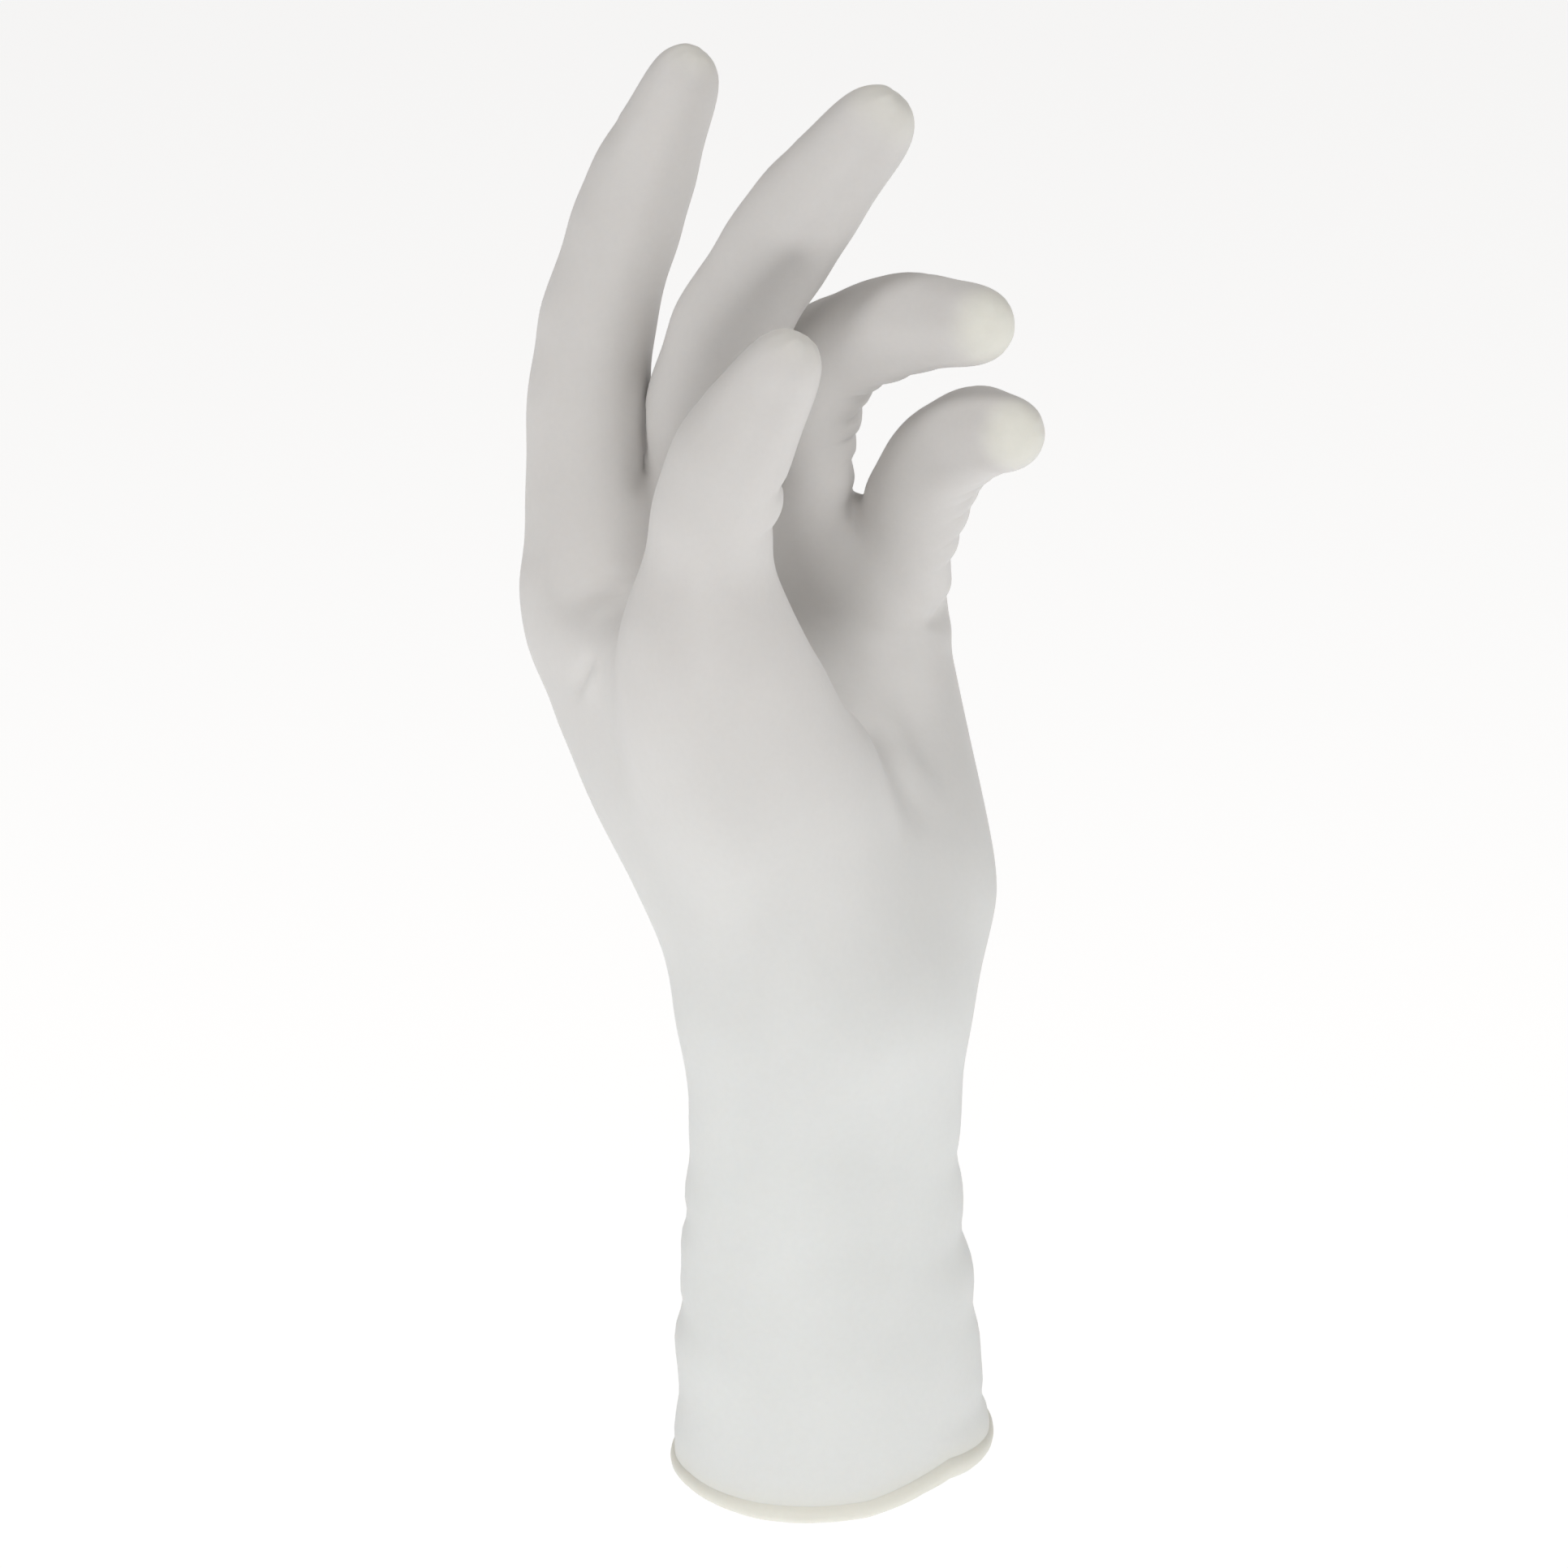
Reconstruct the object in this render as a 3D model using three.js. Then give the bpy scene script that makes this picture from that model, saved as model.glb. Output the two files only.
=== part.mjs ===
// A surgical glove of thin white latex, in the form it keeps on a left hand.
// The hand is left out, so the glove is a hollow film that is open at the cuff's mouth.
// The film follows the form of a hand: round bones blended into one smooth skin. Its facets
// run in rows round the cuff and the palm, and part into a tube for each digit.
// +Z runs up the cuff, +X is the photograph's right, and the origin is the centre of the mouth.
import * as THREE from "three";

// Driving sizes, in millimetres
const FILM = 1.2; // wall of the film
const CUFF_LENGTH = 80; // mouth to wrist joint
const MOUTH_WIDTH = 57; // cuff across the hand at the mouth
const MOUTH_DEPTH = 47; // cuff from back to palm side at the mouth
const MOUTH_DIP = 3; // how much lower the mouth is in front than at its centre
const MOUTH_RISE = 1.2; // how much higher it is on the little finger's side
const WRIST_WIDTH = 50;
const WRIST_DEPTH = 37;
const PALM_LENGTH = 79; // wrist joint to middle knuckle
const PALM_DEPTH = 27; // palm from back to front
const KNUCKLE_SPAN = 60; // reach of the knuckles across the hand
const INDEX_LENGTH = 101.5; // knuckle to tip
const MIDDLE_LENGTH = 103.5;
const RING_LENGTH = 96;
const LITTLE_LENGTH = 75;
const THUMB_LENGTH = 107; // wrist end of the thumb's first bone to its tip
const FINGER_WIDTH = 20.6; // index finger at its root
const THUMB_WIDTH = 20.5; // thumb at its last joint
const BEAD_DIAMETER = 3.4; // rolled edge
const BEAD_GAP = 0.3; // clearance between the film's edge and the bead
const BEAD_OUT = 0.7; // how far the bead's middle stands outside the film's

// Pose, in degrees
const HAND_TURN = 28; // palm turned from the front view towards +X
const PALM_LEAN = 32; // palm bent back from the cuff's line at the wrist

// Blends between neighbouring forms, in millimetres: a larger one makes a softer hollow
const BLEND = { joint: 3, web: 2, palm: 9, root: 6, wrist: 14, thumb: 14 };

// Cuff sections. at: share of the cuff's length above the mouth. wrist: share of the way from
// the mouth's size to the wrist's. side: the middle's shift across the hand, as a share of the
// wrist's width.
const CUFF_SECTIONS = [
  { at: 0.0, wrist: 0, side: 0 },
  { at: 0.3, wrist: 0.35, side: -0.024 },
  { at: 0.6, wrist: 0.95, side: -0.04 },
  { at: 0.85, wrist: 1.05, side: -0.032 },
  { at: 1.0, wrist: 0.9, side: -0.016 },
];

// Palm bones from the heel of the hand to each knuckle, little finger first.
// across: share of the knuckle span from the palm's middle, towards the little finger.
// along: share of the palm's length. lift: share of the palm's depth, towards the palm side.
// thick: share of the palm's depth.
const PALM_BONES = [
  { end: "heel", across: 0.32, along: 0.26, lift: 0.05, thick: 1.2 },
  { end: "knuckle", across: 0.5, along: 0.885, lift: 0.0, thick: 0.76 },
  { end: "heel", across: 0.07, along: 0.14, lift: 0.05, thick: 1.15 },
  { end: "knuckle", across: 0.205, along: 0.955, lift: -0.05, thick: 0.82 },
  { end: "heel", across: -0.07, along: 0.12, lift: 0.05, thick: 1.15 },
  { end: "knuckle", across: -0.1, along: 0.985, lift: -0.05, thick: 0.84 },
  { end: "heel", across: -0.15, along: 0.14, lift: 0.0, thick: 1.0 },
  { end: "knuckle", across: -0.46, along: 0.985, lift: 0.0, thick: 0.72 },
];

// Fingers, little finger first. width: share of the index finger's. joint1, joint2, tip: width
// at the joints past the knuckle and at the tip, as shares of the finger's own.
// lean: heading of the unbent finger from the palm's line, towards the little finger. roll: turn
// of the hinges about that heading. bend1 to bend3: flexion at the knuckle and the joints past it.
const FINGERS = [
  { name: "little", length: LITTLE_LENGTH, width: 0.84, joint1: 0.95, joint2: 0.86, tip: 0.74, lean: 6, roll: -3, bend1: 58, bend2: 34, bend3: 18 },
  { name: "ring", length: RING_LENGTH, width: 0.86, joint1: 1.0, joint2: 0.92, tip: 0.77, lean: -3, roll: 11, bend1: 37, bend2: 58, bend3: 18 },
  { name: "middle", length: MIDDLE_LENGTH, width: 0.95, joint1: 0.98, joint2: 0.91, tip: 0.74, lean: -48, roll: 40, bend1: 61, bend2: 24, bend3: 8 },
  { name: "index", length: INDEX_LENGTH, width: 1, joint1: 0.94, joint2: 0.86, tip: 0.61, lean: -1, roll: 33, bend1: 20, bend2: 18, bend3: 8 },
];
// The thumb's first bone starts at a point of the palm. raise: its heading towards the palm side.
const THUMB = { across: -0.18, along: 0.28, lift: 0.55, joint1: 1.12, joint2: 1.0, tip: 0.64, raise: 32, lean: -23, roll: 60, bend1: 0, bend2: 21, bend3: 25 };

// Bones as shares of a digit's length, and its width at its start as a share of its own
const FINGER_BONES = { shares: [0.45, 0.27, 0.28], start: 1.02 };
const THUMB_BONES = { shares: [0.43, 0.3, 0.27], start: 1.45 };
const CORNER = 0.2; // share of a bone that its bent joint rounds off

// Flesh between the thumb's first bone and the palm. thumb: share along that bone.
// thickThumb, thickPalm: shares of the palm's depth at the two ends.
const THUMB_FLESH = [
  { thumb: 0.95, across: 0.12, along: 0.34, lift: 0.3, thickThumb: 0.85, thickPalm: 1.0 },
  { thumb: 0.9, across: -0.4, along: 0.82, lift: 0.2, thickThumb: 0.8, thickPalm: 0.6 },
  { thumb: 0.6, across: -0.34, along: 0.61, lift: 0.2, thickThumb: 1.0, thickPalm: 0.86 },
  { thumb: 0.35, across: -0.26, along: 0.42, lift: 0.2, thickThumb: 0.95, thickPalm: 0.75 },
  { thumb: 0.5, across: 0.2, along: 0.45, lift: 0.2, thickThumb: 0.8, thickPalm: 0.85 },
];
// Webs between the fingers. reach: share of the finger's first bone that the web rises.
const WEB = { reach: 0.34, thickPalm: 0.6, thickEnd: 0.36 };

const vec = (x, y, z) => new THREE.Vector3(x, y, z);
const turned = (v, axis, degrees) => v.clone().applyAxisAngle(axis, THREE.MathUtils.degToRad(degrees));
const mix = THREE.MathUtils.lerp;
const between = (a, b, share) => a.clone().lerp(b, share);

// The hand's own directions
const UP = vec(0, 0, 1);
const ACROSS = turned(vec(1, 0, 0), UP, HAND_TURN); // towards the little finger
const FRONT = turned(vec(0, -1, 0), UP, HAND_TURN); // the way the wrist's palm side faces
const PALM_ALONG = turned(UP, ACROSS, -PALM_LEAN);
const PALM_FRONT = turned(FRONT, ACROSS, -PALM_LEAN);
const WRIST = vec(0, 0, CUFF_LENGTH);

function palmPoint({ across, along, lift }) {
  return WRIST.clone()
    .addScaledVector(ACROSS, across * KNUCKLE_SPAN)
    .addScaledVector(PALM_ALONG, along * PALM_LENGTH)
    .addScaledVector(PALM_FRONT, lift * PALM_DEPTH);
}

const cone = (a, b, widthA, widthB) => ({ a, b, ra: widthA / 2, rb: widthB / 2 });

// A digit's joints, each with the width there
function digitJoints(start, digit, length, width, bones) {
  let heading = turned(PALM_ALONG, ACROSS, digit.raise ?? 0);
  heading = turned(heading, PALM_FRONT, -digit.lean);
  const hinge = turned(turned(ACROSS, PALM_FRONT, -digit.lean), heading, digit.roll);
  hinge.addScaledVector(heading, -hinge.dot(heading)).normalize();
  const bends = [digit.bend1, digit.bend2, digit.bend3];
  const widths = [digit.joint1, digit.joint2, digit.tip];
  const joints = [{ at: start, width: bones.start * width }];
  bends.forEach((bend, i) => {
    heading = turned(heading, hinge, bend);
    const tipHalf = i === 2 ? (digit.tip * width) / 2 : 0;
    const at = joints[i].at.clone().addScaledVector(heading, bones.shares[i] * length - tipHalf);
    joints.push({ at, width: widths[i] * width });
  });
  return joints;
}

// A digit as cones along its bones, with the bent joints rounded off
function digitCones(...digit) {
  const joints = digitJoints(...digit);
  const part = (a, b, share) => ({ at: between(a.at, b.at, share), width: mix(a.width, b.width, share) });
  const stops = [joints[0]];
  for (const i of [1, 2]) {
    stops.push(part(joints[i], joints[i - 1], CORNER), part(joints[i], joints[i + 1], CORNER));
  }
  stops.push(joints[3]);
  return stops.slice(1).map((stop, i) => cone(stops[i].at, stop.at, stops[i].width, stop.width));
}

const ends = (name) => PALM_BONES.filter((row) => row.end === name);
const knuckles = ends("knuckle");
const palmCones = ends("heel").map((heel, i) =>
  cone(palmPoint(heel), palmPoint(knuckles[i]), heel.thick * PALM_DEPTH, knuckles[i].thick * PALM_DEPTH),
);
const fingerCones = FINGERS.map((finger, i) =>
  digitCones(palmCones[i].b, finger, finger.length, finger.width * FINGER_WIDTH, FINGER_BONES),
);
const thumbCones = digitCones(palmPoint(THUMB), THUMB, THUMB_LENGTH, THUMB_WIDTH, THUMB_BONES);
// A point of a digit's first bone: share counts from 0 at its start to 1 at the joint
const alongBone = (cones, share) => between(cones[0].a, cones[0].b, share / (1 - CORNER));
const fleshCones = THUMB_FLESH.map((row) =>
  cone(alongBone(thumbCones, row.thumb), palmPoint(row), row.thickThumb * PALM_DEPTH, row.thickPalm * PALM_DEPTH),
);
const webCones = palmCones.slice(1).map((next, i) => {
  const root = between(palmCones[i].b, next.b, 0.5);
  const end = between(alongBone(fingerCones[i], WEB.reach), alongBone(fingerCones[i + 1], WEB.reach), 0.5);
  return cone(root, end, WEB.thickPalm * PALM_DEPTH, WEB.thickEnd * PALM_DEPTH);
});

// Distance from p to a rounded cone
function coneDistance(p, { a, b, ra, rb }) {
  const bx = b.x - a.x, by = b.y - a.y, bz = b.z - a.z;
  const px = p.x - a.x, py = p.y - a.y, pz = p.z - a.z;
  const lengthSq = bx * bx + by * by + bz * bz;
  const taper = ra - rb;
  const slant = lengthSq - taper * taper;
  const y = px * bx + py * by + pz * bz;
  const z = y - lengthSq;
  const qx = px * lengthSq - bx * y, qy = py * lengthSq - by * y, qz = pz * lengthSq - bz * y;
  const x2 = qx * qx + qy * qy + qz * qz;
  const y2 = y * y * lengthSq, z2 = z * z * lengthSq;
  const k = Math.sign(taper) * taper * taper * x2;
  if (Math.sign(z) * slant * z2 > k) return Math.sqrt(x2 + z2) / lengthSq - rb;
  if (Math.sign(y) * slant * y2 < k) return Math.sqrt(x2 + y2) / lengthSq - ra;
  return (Math.sqrt((x2 * slant) / lengthSq) + y * taper) / lengthSq - ra;
}

// The smaller of two distances, rounded over where they meet
function blended(d1, d2, k) {
  const h = Math.max(k - Math.abs(d1 - d2), 0) / k;
  return Math.min(d1, d2) - (h * h * k) / 4;
}

const conesDistance = (p, cones, k) => cones.map((c) => coneDistance(p, c)).reduce((a, b) => blended(a, b, k));

// Distance to the cuff: an ellipse at each height, closed by a dome past the wrist
function cuffDistance(p) {
  const at = THREE.MathUtils.clamp(p.z / CUFF_LENGTH, 0, 1);
  const i = Math.max(1, CUFF_SECTIONS.findIndex((s) => s.at >= at));
  const s0 = CUFF_SECTIONS[i - 1], s1 = CUFF_SECTIONS[i];
  const t = (at - s0.at) / (s1.at - s0.at);
  const wrist = mix(s0.wrist, s1.wrist, t);
  const halfWidth = mix(MOUTH_WIDTH, WRIST_WIDTH, wrist) / 2;
  const halfDepth = mix(MOUTH_DEPTH, WRIST_DEPTH, wrist) / 2;
  const u = p.dot(ACROSS) - mix(s0.side, s1.side, t) * WRIST_WIDTH, v = p.dot(FRONT);
  const over = Math.max(0, p.z - CUFF_LENGTH);
  const f = Math.hypot(u / halfWidth, v / halfDepth, over / halfDepth);
  if (f < 0.2) return (f - 1) * halfDepth;
  return ((f - 1) * f) / Math.hypot(u / halfWidth ** 2, v / halfDepth ** 2, over / halfDepth ** 2);
}

function bodyDistance(p) {
  const palm = conesDistance(p, [...palmCones, ...webCones], BLEND.palm);
  return blended(cuffDistance(p), palm, BLEND.wrist);
}

// One function per digit, little finger to thumb: the body with that digit alone
const THUMB_AT = 4;
const digitDistance = [
  ...fingerCones.map((cones) => (p) => conesDistance(p, cones, BLEND.joint)),
  (p) => blended(conesDistance(p, thumbCones, BLEND.joint), conesDistance(p, fleshCones, BLEND.palm), BLEND.thumb),
];
const joinBlend = (digit) => (digit === THUMB_AT ? BLEND.thumb : BLEND.root);

function handDistance(p) {
  const body = bodyDistance(p);
  const fingers = fingerCones.map((c, i) => digitDistance[i](p)).reduce((a, b) => blended(a, b, BLEND.web));
  return Math.min(blended(body, fingers, BLEND.root), blended(body, digitDistance[THUMB_AT](p), BLEND.thumb));
}

const HAND = -1;
const distanceTo = (owner, p) =>
  owner === HAND ? handDistance(p) : blended(bodyDistance(p), digitDistance[owner](p), joinBlend(owner));

function slopeAt(owner, p) {
  const step = 0.05;
  const slope = vec(0, 0, 0);
  for (const axis of ["x", "y", "z"]) {
    const q = p.clone();
    q[axis] += step;
    const ahead = distanceTo(owner, q);
    q[axis] -= 2 * step;
    slope[axis] = (ahead - distanceTo(owner, q)) / (2 * step);
  }
  return slope;
}

// Moves a point onto the skin, straight along the slope
function settle(owner, p, steps = 3) {
  for (let i = 0; i < steps; i += 1) {
    const slope = slopeAt(owner, p);
    p.addScaledVector(slope, -distanceTo(owner, p) / Math.max(slope.lengthSq(), 0.2));
  }
  return p;
}

// Walks from a point inside the form to the skin
function walkOut(owner, from, direction) {
  const p = from.clone();
  for (let i = 0; i < 80; i += 1) {
    const d = distanceTo(owner, p);
    if (d > -0.01) break;
    p.addScaledVector(direction, Math.max(-d, 0.05));
  }
  return p;
}

// The net. A digit's loop has four sides of SIDE facets: back, side, front and side.
const SIDE = 4;
const points = [];
const owners = [];
const quads = [];

function addPoint(owner, p) {
  points.push(p);
  owners.push(owner);
  return points.length - 1;
}

function joinRows(lower, upper) {
  lower.forEach((corner, i) => {
    const next = (i + 1) % lower.length;
    quads.push([corner, lower[next], upper[next], upper[i]]);
  });
}

// Rows round the cuff and the palm, up to the web of the thumb. cuff: share of the cuff's length,
// palm: share of the palm's length past it. across, front: centre of the row's rays, as shares of
// the knuckle span and the palm's depth. outer, thumb, inner: angles of three marks round the
// row, from the little finger's side over the back: the thumb's web behind, the thumb, and its
// web in front.
const ROWS = [
  { cuff: 0, palm: 0, across: 0, front: 0, outer: 135, thumb: 180, inner: 225, rows: 1 },
  { cuff: 0.8, palm: 0, across: 0, front: 0, outer: 135, thumb: 180, inner: 225, rows: 7 },
  { cuff: 1, palm: 0.05, across: -0.03, front: 0, outer: 145, thumb: 195, inner: 240, rows: 3 },
  { cuff: 1, palm: 0.35, across: -0.17, front: 0.11, outer: 190, thumb: 240, inner: 285, rows: 4 },
  { cuff: 1, palm: 0.8, across: -0.4, front: 0.11, outer: 232, thumb: 268, inner: 299, rows: 5 },
];
const EDGE = BEAD_DIAMETER / 2 + BEAD_GAP; // height of the film's edge above the bead's middle

function rowAt(row, lean) {
  const along = turned(UP, ACROSS, -lean);
  const front = turned(FRONT, ACROSS, -lean);
  const height = Math.max(row.cuff * CUFF_LENGTH, EDGE);
  const centre = vec(0, 0, height)
    .addScaledVector(PALM_ALONG, row.palm * PALM_LENGTH)
    .addScaledVector(ACROSS, row.across * KNUCKLE_SPAN)
    .addScaledVector(front, row.front * PALM_DEPTH);
  const RAYS = 360;
  const rim = [];
  for (let i = 0; i < RAYS; i += 1) {
    rim.push(walkOut(HAND, centre, turned(ACROSS, along, (360 * i) / RAYS)));
  }
  // Lengths along the contour, then points at even steps between the marks
  const reach = [0];
  for (let i = 0; i < RAYS; i += 1) reach.push(reach[i] + rim[i].distanceTo(rim[(i + 1) % RAYS]));
  const marks = [
    { step: 0, at: 0 },
    { step: 4.5 * SIDE, at: reach[Math.round(row.outer)] },
    { step: 6 * SIDE, at: reach[Math.round(row.thumb)] },
    { step: 7.5 * SIDE, at: reach[Math.round(row.inner)] },
    { step: 12 * SIDE, at: reach[RAYS] },
  ];
  const ring = [];
  for (let i = 0; i < 12 * SIDE; i += 1) {
    const m = marks.findIndex((mark) => mark.step > i);
    const share = (i - marks[m - 1].step) / (marks[m].step - marks[m - 1].step);
    const at = mix(marks[m - 1].at, marks[m].at, share);
    const j = Math.min(RAYS - 1, reach.findIndex((r) => r > at) - 1);
    const p = between(rim[j], rim[(j + 1) % RAYS], (at - reach[j]) / (reach[j + 1] - reach[j]));
    ring[(i + 11.5 * SIDE) % (12 * SIDE)] = addPoint(HAND, p);
  }
  return ring;
}

let ring = null;
let edgeRing = null;
ROWS.forEach((row, i) => {
  const before = ROWS[Math.max(0, i - 1)];
  for (let k = 1; k <= row.rows; k += 1) {
    const t = k / row.rows;
    const here = {};
    for (const key of Object.keys(row)) here[key] = mix(before[key], row[key], t);
    const bent = THREE.MathUtils.smoothstep(here.cuff + here.palm, 0.8, 1.2);
    const next = rowAt(here, bent * PALM_LEAN);
    if (ring) joinRows(ring, next);
    else edgeRing = next;
    ring = next;
  }
});

// The last row's places, counted from the little finger's side to the thumb's
const backs = ring.slice(0, 5 * SIDE + 1);
const thumbSide = ring.slice(5 * SIDE + 1, 6 * SIDE);
const fronts = ring.slice(6 * SIDE, 11 * SIDE + 1).reverse();
const littleSide = ring.slice(11 * SIDE + 1);

// Points in a half circle of rays from the back over the top to the front
function fan(middle, back, top) {
  const list = [];
  for (let k = 1; k < SIDE; k += 1) {
    const angle = (Math.PI * k) / SIDE;
    const direction = back.clone().multiplyScalar(Math.cos(angle)).addScaledVector(top, Math.sin(angle));
    list.push(addPoint(HAND, settle(HAND, walkOut(HAND, middle, direction))));
  }
  return list;
}

function fanOver(backPoint, frontPoint, top) {
  const back = points[backPoint].clone().sub(points[frontPoint]).normalize();
  return fan(between(points[backPoint], points[frontPoint], 0.5), back, top);
}
const thumbWeb = fanOver(backs[4 * SIDE], fronts[4 * SIDE], PALM_ALONG);

// Rows over the knuckles, on the middle line of the four fingers' roots.
// finger counts from the little finger's side, 0 to 4; share runs from the thumb's web up.
const KNUCKLE_ROWS = 5;
const THUMB_WEB_RISE = 0.5; // share by which the rows start higher beside the thumb's web
const lastRow = ROWS[ROWS.length - 1];
function rootPoint(i, share) {
  const bone = palmCones[i], rise = alongBone(fingerCones[i], WEB.reach);
  const low = bone.a.clone();
  const span = bone.b.clone().sub(bone.a);
  const wanted = lastRow.palm * PALM_LENGTH - low.clone().sub(WRIST).dot(PALM_ALONG);
  low.addScaledVector(span, wanted / span.dot(PALM_ALONG));
  return between(between(low, bone.b, share), between(bone.b, rise, share), share);
}
function middlePoint(finger, share) {
  const f = THREE.MathUtils.clamp(finger - 0.5, 0, 3);
  const i = Math.min(2, Math.floor(f));
  const over = (finger - 0.5 - f) * 0.5;
  return rootPoint(i, share).lerp(rootPoint(i + 1, share), f - i + over);
}
function middleFrame(finger, share) {
  const step = 0.2;
  const sideways = middlePoint(Math.min(4, finger + step), share).sub(middlePoint(Math.max(0, finger - step), share)).normalize();
  const up = middlePoint(finger, share + step).sub(middlePoint(finger, share - step)).normalize();
  const back = sideways.clone().cross(up).normalize();
  return { middle: middlePoint(finger, share), sideways, up, back };
}

let knuckleBacks = backs.slice(0, 4 * SIDE + 1);
let knuckleFronts = fronts.slice(0, 4 * SIDE + 1);
let indexSide = thumbWeb;
let outerSide = littleSide;
for (let row = 1; row <= KNUCKLE_ROWS; row += 1) {
  const shareAt = (finger) => mix(row / KNUCKLE_ROWS, 1, THUMB_WEB_RISE * THREE.MathUtils.smoothstep(finger, 2, 4));
  const backRow = [], frontRow = [];
  for (let j = 0; j <= 4 * SIDE; j += 1) {
    const { middle, back } = middleFrame(j / SIDE, shareAt(j / SIDE));
    backRow.push(addPoint(HAND, walkOut(HAND, middle, back)));
    frontRow.push(addPoint(HAND, walkOut(HAND, middle, back.clone().negate())));
  }
  const index = middleFrame(4, shareAt(4));
  const little = middleFrame(0, shareAt(0));
  const nextIndexSide = fan(index.middle, index.back, index.sideways);
  const nextOuterSide = fan(little.middle, little.back, little.sideways.clone().negate()).reverse();
  joinRows(
    [...knuckleBacks, ...indexSide, ...[...knuckleFronts].reverse(), ...outerSide],
    [...backRow, ...nextIndexSide, ...[...frontRow].reverse(), ...nextOuterSide],
  );
  knuckleBacks = backRow;
  knuckleFronts = frontRow;
  indexSide = nextIndexSide;
  outerSide = nextOuterSide;
}
const webs = webCones.map((_, i) => {
  const j = (i + 1) * SIDE;
  return fanOver(knuckleBacks[j], knuckleFronts[j], middleFrame(i + 1, 1).up);
});

// A digit's loop: back, side towards the thumb, front, side towards the little finger
function digitLoop(backRow, frontRow, first, thumbwards, littlewards) {
  const back = backRow.slice(first, first + SIDE + 1);
  const front = frontRow.slice(first, first + SIDE + 1).reverse();
  return [...back, ...thumbwards, ...front, ...littlewards];
}
const reversed = (list) => [...list].reverse();
const loops = [
  digitLoop(knuckleBacks, knuckleFronts, 0, webs[0], outerSide),
  digitLoop(knuckleBacks, knuckleFronts, SIDE, webs[1], reversed(webs[0])),
  digitLoop(knuckleBacks, knuckleFronts, 2 * SIDE, webs[2], reversed(webs[1])),
  digitLoop(knuckleBacks, knuckleFronts, 3 * SIDE, indexSide, reversed(webs[2])),
  digitLoop(backs, fronts, 4 * SIDE, thumbSide, reversed(thumbWeb)),
];

// A point of a digit's bones at a distance from its start, with the corners eased
function bonePoint(cones, distance) {
  let left = distance;
  for (const { a, b } of cones) {
    const length = a.distanceTo(b);
    if (left <= length || b === cones[cones.length - 1].b) return between(a, b, left / length);
    left -= length;
  }
  return null;
}
const EASE = 8;
function easedPoint(cones, distance) {
  const sum = vec(0, 0, 0);
  for (let k = -4; k <= 4; k += 1) sum.addScaledVector(bonePoint(cones, distance + (EASE * k) / 4), 1 / 9);
  return sum;
}

const RING_STEP = 5.6; // spacing of a digit's rows
const caps = [];
function addDigit(owner, cones, loop, start) {
  const total = cones.reduce((sum, { a, b }) => sum + a.distanceTo(b), 0);
  const rows = Math.round((total - start) / RING_STEP);
  let below = loop;
  let back = null;
  for (let row = 0; row <= rows; row += 1) {
    const at = mix(start, total, row / rows);
    const middle = easedPoint(cones, at);
    const heading = easedPoint(cones, at + 1).sub(easedPoint(cones, at - 1)).normalize();
    if (!back) back = points[loop[SIDE / 2]].clone().sub(middle);
    back.addScaledVector(heading, -back.dot(heading)).normalize();
    const tilts = row < rows ? [0] : [0, 32, 62];
    for (const tilt of tilts) {
      const next = [];
      for (let q = 0; q < 4 * SIDE; q += 1) {
        let direction = turned(back, heading, ((q - SIDE / 2) * 90) / SIDE);
        direction = direction.multiplyScalar(Math.cos(THREE.MathUtils.degToRad(tilt)));
        direction.addScaledVector(heading, Math.sin(THREE.MathUtils.degToRad(tilt)));
        next.push(addPoint(owner, walkOut(owner, middle, direction)));
      }
      joinRows(below, next);
      below = next;
    }
    if (row === rows) caps.push({ loop: below, tip: addPoint(owner, walkOut(owner, middle, heading)) });
  }
}
const ABOVE_WEB = 7; // first row of a finger above its web's start
fingerCones.forEach((cones, i) => {
  addDigit(i, cones, loops[i], WEB.reach * FINGER_BONES.shares[0] * FINGERS[i].length + ABOVE_WEB);
});
addDigit(THUMB_AT, thumbCones, loops[THUMB_AT], (THUMB_BONES.shares[0] + 0.12) * THUMB_LENGTH);

// Evens out the net over the skin. The edge at the mouth stays where it is.
const neighbours = points.map(() => new Set());
quads.forEach((quad) => quad.forEach((corner, i) => {
  neighbours[corner].add(quad[(i + 1) % 4]);
  neighbours[quad[(i + 1) % 4]].add(corner);
}));
caps.forEach(({ loop, tip }) => loop.forEach((corner) => {
  neighbours[tip].add(corner);
  neighbours[corner].add(tip);
}));
const held = new Set(edgeRing);
const SMOOTH_ROUNDS = 14;
for (let round = 0; round < SMOOTH_ROUNDS; round += 1) {
  const wanted = points.map((p, i) => {
    const sum = vec(0, 0, 0);
    neighbours[i].forEach((j) => sum.add(points[j]));
    return sum.divideScalar(neighbours[i].size);
  });
  points.forEach((p, i) => {
    if (held.has(i)) return;
    p.lerp(wanted[i], 0.5);
    settle(owners[i], p, round === SMOOTH_ROUNDS - 1 ? 4 : 1);
  });
}

// The inner skin lies one wall inside
const inner = points.map((p, i) => {
  const inwards = slopeAt(owners[i], p).negate();
  if (held.has(i)) inwards.z = 0;
  return p.clone().addScaledVector(inwards.normalize(), FILM);
});

// The mouth dips in front and rises on the little finger's side, and the cuff follows it
function tilted(p) {
  const fade = Math.max(0, 1 - p.z / (0.6 * CUFF_LENGTH)) ** 2;
  const slant = (MOUTH_DIP * p.y) / (MOUTH_DEPTH / 2) + (MOUTH_RISE * p.x) / (MOUTH_WIDTH / 2);
  return vec(p.x, p.y, p.z + slant * fade);
}

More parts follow.
